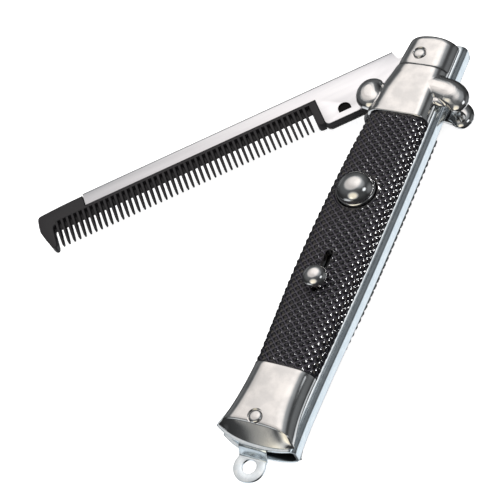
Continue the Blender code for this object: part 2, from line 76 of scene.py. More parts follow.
WINDOW = (23.55, 2.4)
POCKET_RADIUS = 1.95

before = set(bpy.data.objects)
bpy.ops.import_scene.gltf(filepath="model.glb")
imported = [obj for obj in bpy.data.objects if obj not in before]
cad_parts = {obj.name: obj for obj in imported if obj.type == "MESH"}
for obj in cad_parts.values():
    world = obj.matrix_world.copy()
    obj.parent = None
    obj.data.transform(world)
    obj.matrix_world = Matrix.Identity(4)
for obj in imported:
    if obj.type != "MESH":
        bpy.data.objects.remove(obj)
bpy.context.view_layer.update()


def handle_place(x, y, z):
    """Handle millimetres to the frame's metres."""
    return Vector((x * MM, (y - ORIGIN_Y) * MM, z * MM))


def comb_place(a, b, z):
    """Comb millimetres to the frame's metres, with z counted from the middle plane."""
    x = PIVOT[0] + a * math.cos(COMB_TURN) - b * math.sin(COMB_TURN)
    y = PIVOT[1] + a * math.sin(COMB_TURN) + b * math.cos(COMB_TURN)
    return handle_place(x, y, MID + z)


# Shader maths


class Socket:
    """A shader's output that can be used in Python expressions."""

    def __init__(self, paint, socket):
        self.paint, self.socket = paint, socket

    def _math(self, operation, first, second):
        node = self.paint.node("ShaderNodeMath", {"operation": operation}, {0: first, 1: second})
        return Socket(self.paint, node.outputs[0])

    def __add__(self, other):
        return self._math("ADD", self, other)

    def __radd__(self, other):
        return self._math("ADD", other, self)

    def __sub__(self, other):
        return self._math("SUBTRACT", self, other)

    def __rsub__(self, other):
        return self._math("SUBTRACT", other, self)

    def __mul__(self, other):
        return self._math("MULTIPLY", self, other)

    def __rmul__(self, other):
        return self._math("MULTIPLY", other, self)


class Paint:
    """One material or world, with short ways to add nodes."""

    def __init__(self, owner):
        owner.use_nodes = True
        self.owner = owner
        self.tree = owner.node_tree

    def node(self, kind, settings=None, values=None):
        """Add a node: settings first, then the values or links of its sockets."""
        node = self.tree.nodes.new(kind)
        for name, value in (settings or {}).items():
            setattr(node, name, value)
        for name, value in (values or {}).items():
            self.connect(node.inputs[name], value)
        return node

    def connect(self, target, value):
        """Link a socket to an input, or set the input's own value."""
        if isinstance(value, Socket):
            self.tree.links.new(value.socket, target)
        elif isinstance(value, tuple) and len(value) == 3 and target.type == "RGBA":
            target.default_value = (*value, 1)
        else:
            target.default_value = value

    def finish(self, values):
        """Set or link sockets of the surface itself, and hand back its material."""
        shader = self.tree.nodes["Principled BSDF"]
        for name, value in values.items():
            self.connect(shader.inputs[name], value)
        return self.owner

    def place(self, scale=(1, 1, 1), turn=0.0):
        """Object coordinates in millimetres, turned about z and stretched."""
        source = self.node("ShaderNodeTexCoord")
        mapping = self.node("ShaderNodeMapping", {"vector_type": "TEXTURE"}, {
            "Vector": Socket(self, source.outputs["Object"]),
            "Rotation": (0, 0, turn), "Scale": tuple(MM / part for part in scale),
        })
        return Socket(self, mapping.outputs[0])

    def noise(self, where, scale, detail=3.0, rough=0.5):
        node = self.node("ShaderNodeTexNoise", {"noise_dimensions": "3D"}, {
            "Vector": where, "Scale": scale, "Detail": detail, "Roughness": rough,
        })
        return Socket(self, node.outputs["Fac"])

    def step(self, value, low, high, out_low=0.0, out_high=1.0):
        node = self.node("ShaderNodeMapRange", {"interpolation_type": "SMOOTHSTEP"}, {
            "Value": value, "From Min": low, "From Max": high, "To Min": out_low, "To Max": out_high,
        })
        return Socket(self, node.outputs[0])

    def mix(self, factor, first, second):
        node = self.node("ShaderNodeMix", {"data_type": "RGBA"}, {0: factor, 6: first, 7: second})
        return Socket(self, node.outputs[2])

    def normal_part(self, axis):
        """One component of the surface's own direction."""
        geometry = self.node("ShaderNodeNewGeometry")
        split = self.node("ShaderNodeSeparateXYZ", None, {0: Socket(self, geometry.outputs["Normal"])})
        return Socket(self, split.outputs[axis])

    def bump(self, height, distance, strength):
        node = self.node("ShaderNodeBump", None, {
            "Height": height, "Distance": distance * MM, "Strength": strength,
        })
        return Socket(self, node.outputs[0])


def surface(name, values):
    """A new material, with the values that are the same all over its surface."""
    paint = Paint(bpy.data.materials.new(name))
    paint.finish(values)
    return paint


def nickel_finish():
    """Polished plating with faint clouds and fine wiping scratches."""
    paint = surface("polished_nickel", {"Metallic": 1.0})
    clouds = paint.noise(paint.place(), 0.22, 3.0)
    fine = paint.noise(paint.place((1.0, 0.25, 1.0), 0.4), 3.5, 4.0, 0.65)
    tone = paint.mix(paint.step(clouds, 0.35, 0.7), (0.67, 0.665, 0.66), (0.83, 0.815, 0.80))
    return paint.finish({
        "Base Color": tone,
        "Roughness": 0.04 + 0.08 * clouds + 0.05 * fine,
        "Normal": paint.bump(fine * 0.5 + clouds, 0.02, 0.3),
    })


def zinc_finish():
    """Bright plated sheet with the faint lines of rolling and a mottled bloom, rougher inside the fold and
    with painted shade there.
    """
    paint = surface("zinc_plated_steel", {"Metallic": 1.0})
    lines = paint.noise(paint.place((1.0, 0.03, 1.0)), 3.2, 3.0, 0.6)
    bloom = paint.noise(paint.place(), 0.55, 5.0, 0.65)
    tone = paint.mix(paint.step(bloom, 0.35, 0.7), (0.72, 0.79, 0.84), (0.84, 0.895, 0.925))
    parts = paint.node("ShaderNodeSeparateXYZ", None, {0: paint.place()})
    x, y, z = (Socket(paint, parts.outputs[axis]) for axis in range(3))
    # Painted shade: the inner faces of the fold, from just above the lower end, are darkened nearly to black
    between_plates = 1.0 - paint.step((z - MID) * (z - MID), 5.6, 6.8)
    inside = between_plates * paint.step(paint.normal_part(0), 0.4, 0.1) * paint.step(x, -3.0, 0.0)
    inside = inside * paint.step(y, 0.2 - ORIGIN_Y, 1.0 - ORIGIN_Y)
    return paint.finish({
        "Base Color": paint.mix(inside, tone, (0.05, 0.058, 0.065)),
        "Roughness": 0.11 + 0.12 * bloom + 0.06 * lines + 0.2 * inside,
        "Normal": paint.bump(lines * 0.6 + bloom * 0.4, 0.01, 0.3),
    })


def grip_finish():
    """Glossy black plastic with a moulded knurl, and a painted sheen that lightens the grooves of its flat
    crown.
    """
    paint = surface("black_grip", {"IOR": 1.6})
    cloud = paint.noise(paint.place(), 0.35, 3.0)
    grain = paint.noise(paint.place(), 6.0, 3.0, 0.6)
    tone = paint.mix(cloud, (0.002, 0.002, 0.003), (0.0055, 0.005, 0.007))
    cut = paint.node("ShaderNodeAttribute", {"attribute_name": "groove_sheen"})
    groove_sheen = Socket(paint, cut.outputs["Fac"])
    return paint.finish({
        # Painted sheen: grey in the grooves where the crown faces up into the light, read from the attribute
        # that the grip's shell holds
        "Base Color": paint.mix(groove_sheen, tone, (0.047, 0.043, 0.056)),
        "Roughness": 0.04 + 0.05 * cloud + 0.03 * grain + 0.12 * groove_sheen,
        "Normal": paint.bump(grain, 0.003, 0.3),
    })


def cover_finish():
    """Satin stainless sheet, brushed along the comb, with painted shade on its edges and fold, where the
    sheet turns side-on.
    """
    paint = surface("brushed_steel", {"Metallic": 1.0})
    brushed = paint.noise(paint.place((0.02, 1.0, 1.0), COMB_TURN), 9.0, 4.0, 0.7)
    broad = paint.noise(paint.place((0.12, 1.0, 1.0), COMB_TURN), 0.5, 2.0)
    tone = paint.mix(paint.step(broad, 0.3, 0.7), (0.88, 0.885, 0.92), (0.945, 0.95, 0.98))
    flat = paint.normal_part(2)
    return paint.finish({
        # Painted shade: faces turned side-on, the cut edges and the fold, are darkened
        "Base Color": paint.mix(paint.step(flat * flat, 0.15, 0.7), (0.30, 0.28, 0.28), tone),
        "Roughness": 0.22 + 0.12 * brushed + 0.06 * broad,
        "Normal": paint.bump(brushed, 0.006, 0.35),
    })


def plastic_finish():
    """Matte moulded plastic with a fine grain, and painted shade, near black, in the pocket behind the
    window of the cover.
    """
    paint = surface("black_comb_plastic", {"IOR": 1.46})
    grain = paint.noise(paint.place(), 5.0, 4.0, 0.65)
    flow = paint.noise(paint.place((0.3, 1.0, 1.0), COMB_TURN), 0.4, 2.0)
    tone = paint.mix(flow, (0.010, 0.0092, 0.011), (0.019, 0.0175, 0.020))
    flat = paint.node("ShaderNodeVectorMath", {"operation": "MULTIPLY"}, {0: paint.place(), 1: (1, 1, 0)})
    away = paint.node("ShaderNodeVectorMath", {"operation": "DISTANCE"}, {
        0: Socket(paint, flat.outputs[0]), 1: tuple(comb_place(*WINDOW, -MID) / MM),
    })
    # Painted shade in the pocket behind the window: near black, where little light reaches
    shade = paint.step(Socket(paint, away.outputs["Value"]), POCKET_RADIUS + 0.2, POCKET_RADIUS)
    return paint.finish({
        "Base Color": paint.mix(shade, tone, (0.001, 0.001, 0.001)),
        "Roughness": 0.40 + 0.12 * flow + 0.08 * grain + 0.4 * shade,
        "Normal": paint.bump(grain, 0.012, 0.4),
    })


FINISHES = {
    "polished_nickel": nickel_finish(),
    "zinc_plated_steel": zinc_finish(),
    "black_grip": grip_finish(),
    "brushed_steel": cover_finish(),
    "black_comb_plastic": plastic_finish(),
}


# Shapes


def interpolate(table, y, column):
    """Smooth value of a column at the height y (Catmull and Rom)."""
    last = len(table) - 2
    row = 1
    while row < last - 1 and y > table[row + 1][Y]:
        row += 1
    before, start, end, after = table[row - 1], table[row], table[row + 1], table[min(row + 2, last + 1)]
    span = end[Y] - start[Y]
    t = (y - start[Y]) / span
    slope_start = (end[column] - before[column]) / (end[Y] - before[Y]) * span
    slope_end = (after[column] - start[column]) / (after[Y] - start[Y]) * span
    return (
        (2 * t**3 - 3 * t**2 + 1) * start[column]
        + (t**3 - 2 * t**2 + t) * slope_start
        + (3 * t**2 - 2 * t**3) * end[column]
        + (t**3 - t**2) * slope_end
    )


def between(table, key, column):
    """Straight-line value of a column, for tables whose corners stay crisp."""
    for lower, upper in zip(table, table[1:]):
        if key <= upper[0]:
            share = (key - lower[0]) / (upper[0] - lower[0])
            return lower[column] + (upper[column] - lower[column]) * max(0.0, share)
    return table[-1][column]


def ease(value, low, high):
    """Soft step from 0 at the low value to 1 at the high one."""
    t = min(1.0, max(0.0, (value - low) / (high - low)))
    return t * t * (3 - 2 * t)


def bottom_bow(x):
    """How far the handle's lower end rises towards its sides."""
    return 2.1 * (abs(x) / 10.4) ** 2.4


def top_bow(x):
    """How far the handle's upper end drops towards its sides."""
    return 1.5 * ((x - 2.2) / 7.5) ** 2


def bowed(x, y):
    """The height y, following the curved ends of the handle near them."""
    low = max(0.0, 1.0 - y / 9.0)
    high = max(0.0, 1.0 - (CHANNEL_TOP - y) / 9.0)
    return y + bottom_bow(x) * low - top_bow(x) * high


def dress(piece, finish, body, nodes):
    """Give a piece its finish and its body, and let it stand for CAD nodes."""
    piece.data.materials.clear()
    piece.data.materials.append(FINISHES[finish])
    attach(piece, body)
    if nodes:
        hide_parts(*nodes)


def as_piece(name, shape, place=handle_place, sharp=35.0, weld=True):
    """Turn a bmesh in millimetres into an object in the frame."""
    if weld:
        bmesh.ops.remove_doubles(shape, verts=shape.verts, dist=0.002)
    for vert in shape.verts:
        vert.co = place(*vert.co)
    bmesh.ops.recalc_face_normals(shape, faces=shape.faces)
    mesh = bpy.data.meshes.new(name)
    shape.to_mesh(mesh)
    shape.free()
    mesh.polygons.foreach_set("use_smooth", [True] * len(mesh.polygons))
    mesh.set_sharp_from_angle(angle=math.radians(sharp))
    piece = bpy.data.objects.new(name, mesh)
    bpy.context.scene.collection.objects.link(piece)
    return piece


def bake_modifiers(piece, sharp=35.0):
    """Replace a piece's mesh by what its modifiers make of it."""
    graph = bpy.context.evaluated_depsgraph_get()
    mesh = bpy.data.meshes.new_from_object(piece.evaluated_get(graph))
    piece.modifiers.clear()
    piece.data = mesh
    mesh.polygons.foreach_set("use_smooth", [True] * len(mesh.polygons))
    mesh.set_sharp_from_angle(angle=math.radians(sharp))


def carve(piece, cutters, sharp=35.0):
    """Cut closed shapes out of a piece and remove the cutters."""
    for cutter in cutters:
        modifier = piece.modifiers.new(cutter.name, "BOOLEAN")
        modifier.operation = "DIFFERENCE"
        modifier.solver = "EXACT"
        modifier.object = cutter
    bake_modifiers(piece, sharp)
    for cutter in cutters:
        bpy.data.objects.remove(cutter)


def disc_shape(centre, radius, low, high, sides=64):
    """Upright cylinder between two levels."""
    shape = bmesh.new()
    bmesh.ops.create_cone(
        shape, cap_ends=True, segments=sides, radius1=radius, radius2=radius, depth=high - low,
    )
    bmesh.ops.translate(shape, verts=shape.verts, vec=(*centre, (low + high) / 2))
    return shape


def block_shape(size, centre):
    """Upright block round its middle."""
    shape = bmesh.new()
    bmesh.ops.create_cube(shape, size=1.0)
    bmesh.ops.scale(shape, verts=shape.verts, vec=size)
    bmesh.ops.translate(shape, verts=shape.verts, vec=centre)
    return shape


def spun(name, centre, profile, sides=64):
    """Piece turned about an upright axis, from (radius, z) points."""
    shape = bmesh.new()
    verts = [shape.verts.new((radius, 0, z)) for radius, z in profile]
    edges = [shape.edges.new(pair) for pair in zip(verts, verts[1:])]
    bmesh.ops.spin(
        shape, geom=verts + edges, cent=(0, 0, 0), axis=(0, 0, 1), dvec=(0, 0, 0), angle=math.tau,
        steps=sides, use_merge=True, use_normal_flip=False, use_duplicate=False,
    )
    bmesh.ops.remove_doubles(shape, verts=shape.verts, dist=0.002)
    bmesh.ops.translate(shape, verts=shape.verts, vec=(*centre, 0))
    return as_piece(name, shape)


def dome(radius, base, height, steps):
    """Profile points of a dome, from its crown to its rim."""
    points = []
    for step in range(steps + 1):
        angle = math.pi / 2 * step / steps
        points.append((radius * math.sin(angle), base + height * math.cos(angle)))
    return points


def sheet_grid(columns, rows):
    """Flat grid whose points hold their own shares (0 to 1) across and along."""
    shape = bmesh.new()
    bmesh.ops.create_grid(shape, x_segments=columns, y_segments=rows, size=0.5)
    bmesh.ops.translate(shape, verts=shape.verts, vec=(0.5, 0.5, 0))
    return shape


def points_of(geometry):
    """The vertices among what a mesh operator hands back."""
    return [item for item in geometry if isinstance(item, bmesh.types.BMVert)]


def edges_of(geometry):
    """The edges among what a mesh operator hands back."""
    return [item for item in geometry if isinstance(item, bmesh.types.BMEdge)]


def close_down(shape, floor):
    """Draw the open rim of a shell down to a level and close it there."""
    rim = [edge for edge in shape.edges if edge.is_boundary]
    grown = bmesh.ops.extrude_edge_only(shape, edges=rim)["geom"]
    for vert in points_of(grown):
        vert.co.z = floor
    rim = [edge for edge in edges_of(grown) if edge.is_boundary]
    bmesh.ops.holes_fill(shape, edges=rim, sides=0)


def level(side, height):
    """World z in millimetres of a height above the underside of a scale, a little less at the rear."""
    return MID + side * (SCALE_BASE + height * (1.0 if side == FRONT else REAR_SQUASH))


def shoulder(part, reach, height, roundness):
    """How far in and how high a rounded shoulder is, from its foot (0) to the crown (1)."""
    angle = math.pi / 2 * part
    inward = reach * (1 - math.cos(angle) ** (2 / roundness))
    return inward, height * math.sin(angle) ** (2 / roundness)


def across(share, left, right, left_round, right_round, height, roundness):
    """Point of a section: left shoulder, flat crown, right shoulder."""
    wall = 0.3
    if share < wall:
        inward, z = shoulder(share / wall, left_round, height, roundness)
        return left + inward, z
    if share > 1 - wall:
        inward, z = shoulder((1 - share) / wall, right_round, height, roundness)
        return right - inward, z
    along = (share - wall) / (1 - 2 * wall)
    return left + left_round + (right - left - left_round - right_round) * along, height


def side_edges(y):
    """Left and right edge of the scales at a height."""
    return interpolate(OUTLINE, y, LEFT) + EDGE_STEP, interpolate(OUTLINE, y, RIGHT)


def crowned(share, swell):
    """Slight bulge of a casting's crown."""
    return swell * (1 - (2 * share - 1) ** 2)


# Row key, height of the section, left and right shoulder
KEY, HEIGHT, SHOULDER_LEFT, SHOULDER_RIGHT = 0, 1, 2, 3
CAP_ROWS = (
    (0.0, 0.25, 3.6, 3.2),
    (0.5, 1.55, 4.0, 3.6),
    (0.96, 2.75, 4.3, 4.6),
    (1.0, 2.86, 4.3, 4.8),
    (1.12, 3.12, 4.4, 5.2),
    (1.3, 3.22, 4.4, 5.4),
    (2.0, 3.30, 4.4, 5.3),
    (4.9, 3.46, 4.3, 4.8),
    (5.0, 3.38, 4.3, 4.8),
)


def cap_height(x, key):
    """Where a row of the end cap lies: foot to lip (0 to 1), then on to the grip (1 to 5)."""
    foot = CAP_START + 0.92 * bottom_bow(x)
    lip = 4.55 - 1.5 * max(0.0, x / 8.8) ** 3 - 0.35 * max(0.0, -x / 8.5) ** 3
    if key <= 1:
        return foot + (lip - foot) * key
    share = (key - 1) / 4
    return lip + (CAP_END - lip) * share ** 1.25


def make_end_cap(side):
    """Cast cap of the lower end, with a bevel below its lip and a seat for the rivet."""
    # Rows lie close together where the casting turns over its lip and ends at the grip
    keys = [0.0, 0.12, 0.25, 0.4, 0.55, 0.7, 0.82, 0.9, 0.96, 1.0, 1.03, 1.06, 1.09, 1.12, 1.17, 1.22, 1.3]
    keys += [1.4, 1.55, 1.75] + [2 + 0.15 * step for step in range(19)] + [4.78, 4.86, 4.92, 4.97, 5.0]
    shape = sheet_grid(72, len(keys) - 1)
    for vert in shape.verts:
        share, key = vert.co.x, keys[round(vert.co.y * (len(keys) - 1))]
        left, right = side_edges(cap_height(0.0, key))
        if key < 0.3:
            inset = 0.35 * (1 - key / 0.3)
            left, right = left + inset, right - inset
        x, z = across(
            share, left, right, between(CAP_ROWS, key, SHOULDER_LEFT),
            between(CAP_ROWS, key, SHOULDER_RIGHT), between(CAP_ROWS, key, HEIGHT), 2.3,
        )
        z += (crowned(share, 0.75) - 0.6) * min(1.0, key / 2)
        vert.co = (x, cap_height(x, key), level(side, max(z, 0.05)))
    close_down(shape, level(side, 0))
    cap = as_piece(SIDE_NAMES[side] + "_end_cap_casting", shape, sharp=50)
    low, high = sorted((level(side, 3.0), level(side, 6)))
    carve(cap, [as_piece("seat", disc_shape(END_RIVET, SEAT_RADIUS, low, high))], 40)
    dress(cap, "polished_nickel", "handle", [SIDE_NAMES[side] + "_end_cap"])


# Height, and how far the bolster's left side stands out beyond the plates there
FLARE = ((95.0, 0.9), (98.0, 1.15), (103.0, 1.35), (106.0, 1.0), (108.5, 0.55), (111.0, 0.1), (112.0, 0.0))
OUTWARD = 1
BOLSTER_ROWS = (
    (BOLSTER_START, 3.38, 4.0, 3.6),
    (95.35, 3.52, 4.1, 3.6),
    (97.0, 3.5, 4.7, 3.6),
    (103.0, 3.5, 5.5, 3.8),
    (108.5, 3.52, 5.7, 4.1),
    (110.55, 3.58, 5.4, 4.3),
    (110.85, 3.46, 5.2, 4.4),
    (111.0, 3.2, 4.8, 4.5),
    (111.15, 3.02, 4.6, 4.6),
    (112.0, 2.98, 4.5, 4.8),
    (116.0, 3.0, 4.4, 5.0),
    (119.6, 2.96, 4.4, 5.0),
    (120.5, 2.8, 4.4, 5.0),
    (120.9, 2.52, 4.4, 5.0),
    (121.12, 2.1, 4.4, 5.0),
    (BOLSTER_END, 1.6, 4.4, 5.0),
)
# Scrolls of the guard: x, y, radius in the plane of the plates, level above the scale's underside
LEFT_SCROLL = (
    (-6.0, 100.3, 2.6, 0.8), (-6.8, 99.9, 3.1, 1.0), (-7.7, 99.6, 3.6, 1.3), (-8.5, 99.9, 3.7, 1.45),
    (-9.05, 100.9, 3.5, 1.6), (-9.25, 101.9, 3.1, 1.7), (-9.15, 102.8, 2.65, 1.7), (-8.5, 103.7, 1.9, 1.75),
    (-7.7, 104.1, 1.35, 1.75),
)
RIGHT_SCROLL = (
    (3.5, 106.0, 2.9, 1.7), (5.6, 105.9, 3.2, 1.78), (8.6, 105.7, 3.55, 1.5), (11.2, 105.2, 3.8, 1.2),
    (12.9, 104.6, 3.72, 0.8), (13.9, 103.85, 3.4, 0.6), (14.35, 103.1, 2.98, 0.5), (14.45, 102.4, 2.5, 0.45),
)
RIGHT_CURL = (
    (9.3, 101.9, 1.25, 1.5), (10.5, 101.5, 1.2, 1.1), (11.6, 101.7, 1.0, 0.8), (12.3, 102.0, 0.8, 0.7),
)
SCROLL_SQUASH = 0.52


def along_scroll(path, place):
    """Smooth point of a scroll, a whole number of places being one of its own points."""
    index = int(place)
    share = place - index
    last = len(path) - 1
    near = (path[max(index - 1, 0)], path[index], path[index + 1], path[min(index + 2, last)])
    return [
        0.5 * (
            2 * p1 + (p2 - p0) * share + (2 * p0 - 5 * p1 + 4 * p2 - p3) * share**2
            + (3 * p1 - p0 - 3 * p2 + p3) * share**3
        )
        for p0, p1, p2, p3 in zip(*near)
    ]


def scroll_mesh(path, side):
    """Flattened balls along a scroll, which the remesh then casts in one with the bolster."""
    shape = bmesh.new()
    last = len(path) - 1
    for step in range(last * 4 + 1):
        x, y, radius, height = along_scroll(path, min(step / 4, last - 0.001))
        ball = bmesh.ops.create_uvsphere(shape, u_segments=20, v_segments=12, radius=radius)["verts"]
        for vert in ball:
            vert.co.z *= SCROLL_SQUASH
            vert.co += Vector((x, y, level(side, height)))
    mesh = bpy.data.meshes.new("scroll")
    shape.to_mesh(mesh)
    shape.free()
    return mesh


def bolster_shell(side):
    """Open shell of a bolster without its scrolls."""
    heights = [row[KEY] for row in BOLSTER_ROWS]
    rows = []
    for lower, upper in zip(heights, heights[1:]):
        steps = max(1, round((upper - lower) / 0.5))
        rows += [lower + (upper - lower) * step / steps for step in range(steps)]
    rows.append(BOLSTER_END)
    shape = sheet_grid(72, len(rows) - 1)
    for vert in shape.verts:
        share, y = vert.co.x, rows[round(vert.co.y * (len(rows) - 1))]
        left, right = side_edges(y)
        left -= between(FLARE, y, OUTWARD)
        x, z = across(
            share, left, right, between(BOLSTER_ROWS, y, SHOULDER_LEFT),
            between(BOLSTER_ROWS, y, SHOULDER_RIGHT), between(BOLSTER_ROWS, y, HEIGHT), 2.2,
        )
        z += crowned(share, 0.5) - 0.42
        vert.co = (x, bowed(x, y), level(side, max(z, 0.05)))
    return shape


def make_bolster(side):
    """Cast bolster with its scrolls, flat underneath, and a seat for the head of the pin."""
    name = SIDE_NAMES[side] + "_bolster"
    shape = bolster_shell(side)
    close_down(shape, level(side, 0))
    scrolls = [LEFT_SCROLL, RIGHT_SCROLL]
    if side == FRONT:
        scrolls.append(RIGHT_CURL)
    for path in scrolls:
        mesh = scroll_mesh(path, side)
        shape.from_mesh(mesh)
        bpy.data.meshes.remove(mesh)
    bolster = as_piece(name + "_casting", shape, weld=False)
    remesh = bolster.modifiers.new("cast_in_one", "REMESH")
    remesh.mode = "VOXEL"
    remesh.voxel_size = 0.17 * MM
    remesh.use_smooth_shade = True
    soften = bolster.modifiers.new("soften", "SMOOTH")
    soften.factor = 0.5
    soften.iterations = 5
    bake_modifiers(bolster, 60)
    low, high = sorted((level(side, 2.7), level(side, 6)))
    seat = as_piece("seat", disc_shape(PIVOT, SEAT_RADIUS, low, high))
    under = as_piece("under", block_shape((18.6, 40, 4), (2.1, 108, level(side, -1.98))))
    carve(bolster, [seat, under], 45)
    dress(bolster, "polished_nickel", "handle", [name])


# Knurl of the grips: half width and half height of a diamond, and how deep it is cut
DIAMOND_X, DIAMOND_Y = 1.19, 1.02
KNURL_DEPTH = 0.5
GRIP_HEIGHT = 3.42
GRIP_SAMPLES = 240
# How far the rear grip shows past the front one, at its lower end and added above
REAR_OVERHANG, REAR_SWELL = 0.45, 0.6
COLLAR_IN, COLLAR_OUT = 5.1, 5.65


def diamond(along, up):
    """Height of the knurl, from 0 in the grooves to 1 on the points."""
    u, v = along / DIAMOND_X, up / DIAMOND_Y
    first, second = (u + v) / 2, (u - v) / 2
    first, second = abs(first - round(first)) * 2, abs(second - round(second)) * 2
    inward = 1 - max(first, second)
    return ease(inward, 0.14, 0.40) * (0.42 + 0.58 * min(inward, 0.88))


def grip_section(y, widen):
    """Points of the dome at the height y, and how far along the dome each lies."""
    left, right = side_edges(y)
    right += widen
    middle, half = (left + right) / 2, (right - left) / 2
    fine = []
    for step in range(GRIP_SAMPLES + 1):
        angle = math.pi * step / GRIP_SAMPLES
        along, up = math.cos(angle), math.sin(angle)
        x = middle - half * math.copysign(abs(along) ** 0.8, along)
        fine.append((x, GRIP_HEIGHT * max(up, 0.0) ** 0.8))
    lengths = [0.0]
    for first, second in zip(fine, fine[1:]):
        lengths.append(lengths[-1] + math.dist(first, second))
    return fine, lengths


def on_section(section, share):
    """Point at a share of the dome, its outward direction and its distance along from the middle."""
    fine, lengths = section
    target = lengths[-1] * share
    high = min(bisect_right(lengths, target), len(lengths) - 1)
    low = high - 1
    part = (target - lengths[low]) / (lengths[high] - lengths[low])
    first, second = fine[low], fine[high]
    span = math.dist(first, second)
    out = (-(second[1] - first[1]) / span, (second[0] - first[0]) / span)
    point = (first[0] + (second[0] - first[0]) * part, first[1] + (second[1] - first[1]) * part)
    return point, out, target - lengths[-1] / 2


def knurled_shell(side, columns, rows):
    """Open shell of a grip, whose points also hold the grooves' painted sheen, strongest where the dome
    faces up.
    """
    shape = sheet_grid(columns, rows)
    sections = []
    for row in range(rows + 1):
        y = GRIP_START + (GRIP_END - GRIP_START) * row / rows
        widen = REAR_OVERHANG + REAR_SWELL * ease(y, 24, 48) if side == REAR else 0.0
        sections.append((y, grip_section(y, widen)))
    groove_sheen = shape.verts.layers.float.new("groove_sheen")
    for vert in shape.verts:
        y, section = sections[round(vert.co.y * rows)]
        (x, z), out, along = on_section(section, vert.co.x)
        amount = ease(min(y - GRIP_START, GRIP_END - y), 0.15, 0.6) * ease(z, -0.2, 0.4)
        from_button = math.hypot(x - CONTROL_X, y - BUTTON_Y)
        if side == FRONT:
            amount *= ease(from_button, COLLAR_OUT - 0.2, COLLAR_OUT + 0.5)
            slot_y = min(max(y, SLOT_LOW), SLOT_HIGH)
            amount *= ease(math.hypot(x - CONTROL_X, y - slot_y), 1.0, 1.35)
        cut = diamond(along, y)
        # Painted sheen of the grooves: strong on the crown, fading down the sides as they turn from the
        # light
        vert[groove_sheen] = ease(1 - cut, 0.45, 1.0) * amount * (0.08 + 0.92 * ease(out[1], 0.66, 0.985))
        lift = (cut - 0.8) * KNURL_DEPTH * amount
        z = z + out[1] * lift
        if side == FRONT and from_button < COLLAR_OUT - 0.35:
            z = min(z, 0.2)
        vert.co = (x + out[0] * lift, y, level(side, max(z, 0.05)))
    return shape


def slot_shape():
    """Long hole with round ends, in which the slider's neck runs."""
    slot = bmesh.new()
    ends = []
    for y in (SLOT_LOW, SLOT_HIGH):
        ring = bmesh.ops.create_circle(slot, cap_ends=False, segments=32, radius=SLOT_HALF)["verts"]
        bmesh.ops.translate(slot, verts=ring, vec=(CONTROL_X, y, level(FRONT, 0.6)))
        ends += ring
    hull = bmesh.ops.convex_hull(slot, input=ends)
    inside = points_of(hull["geom_interior"])
    bmesh.ops.delete(slot, geom=inside, context="VERTS")
    bmesh.ops.dissolve_limit(slot, angle_limit=0.01, verts=slot.verts, edges=slot.edges)
    top = bmesh.ops.extrude_face_region(slot, geom=slot.faces[:])["geom"]
    bmesh.ops.translate(slot, verts=points_of(top), vec=(0, 0, 5))
    return slot


def make_grip(side):
    """Knurled grip; the front one has the slider's slot, and a pocket for its plate behind."""
    name = SIDE_NAMES[side] + "_grip"
    columns, rows = (160, 560) if side == FRONT else (120, 420)
    shape = knurled_shell(side, columns, rows)
    close_down(shape, level(side, 0))
    grip = as_piece(name + "_knurled", shape, sharp=62)
    if side == FRONT:
        pocket = block_shape((5.0, 22.0, 2.6), (CONTROL_X, 50.0, level(FRONT, 0)))
        carve(grip, [as_piece("slot", slot_shape()), as_piece("pocket", pocket)], 62)
    dress(grip, "black_grip", "handle", [name])


def make_collar():
    """Smooth ring round the button, moulded on the front grip."""
    base = level(FRONT, 0)
    profile = [
        (COLLAR_IN, base + 0.3), (COLLAR_IN, base + 3.0), (COLLAR_IN + 0.1, base + 3.15),
        (COLLAR_IN + 0.2, base + 3.2), (COLLAR_OUT - 0.2, base + 3.2), (COLLAR_OUT - 0.1, base + 3.15),
        (COLLAR_OUT, base + 3.0), (COLLAR_OUT, base + 0.3), (COLLAR_IN, base + 0.3),
    ]
    collar = spun("button_collar", (CONTROL_X, BUTTON_Y), profile)
    dress(collar, "black_grip", "handle", [])


def make_button():
    """Push button: a large polished dome over a short straight rim."""
    base = level(FRONT, 0)
    neck = base + 4.3
    profile = dome(4.78, neck, 3.09, 16)
    profile += [
        (4.78, neck - 0.18), (4.9, neck - 0.24), (5.0, neck - 0.36), (5.0, base + 1.2), (0.0, base + 1.2),
    ]
    button = spun("push_button_dome", (CONTROL_X, BUTTON_Y), profile)
    dress(button, "polished_nickel", "push_button", ["button"])


def make_slider():
    """Mushroom knob of the slider, and the plate that it stands on in the pocket of the grip."""
    base = level(FRONT, 0)
    widest = base + 5.25
    profile = dome(3.1, widest, 1.9, 14)
    profile += [
        (3.05, widest - 0.2), (2.75, widest - 0.5), (2.2, widest - 0.72), (0.75, widest - 0.78),
        (0.7, widest - 0.9), (0.7, base + 0.5), (0.0, base + 0.5),
    ]
    knob = spun("slider_knob", (CONTROL_X - 0.3, SLIDER_Y - 0.2), profile)
    dress(knob, "polished_nickel", "slider_knob", ["slider"])
    plate = block_shape((4.4, 13.8, 0.8), (CONTROL_X, 46.3, base + 0.6))
    bmesh.ops.bevel(
        plate, geom=plate.edges[:], offset=0.12, segments=2, affect="EDGES", profile=0.5, material=-1,
    )
    dress(as_piece("slider_plate", plate), "polished_nickel", "slider_knob", [])


def make_head(name, centre, side, seat, nodes):
    """Domed head in its seat, with a short shank behind it."""
    profile = dome(1.62, 0.1, 0.44, 8) + [(1.68, 0.05), (HEAD_RADIUS, 0.0)]
    profile += [(SHANK_RADIUS, 0.0), (SHANK_RADIUS, -2.0), (0.0, -2.0)]
    points = [(radius, level(side, seat) + side * z) for radius, z in profile]
    dress(spun(name, centre, points, 48), "polished_nickel", "handle", nodes)


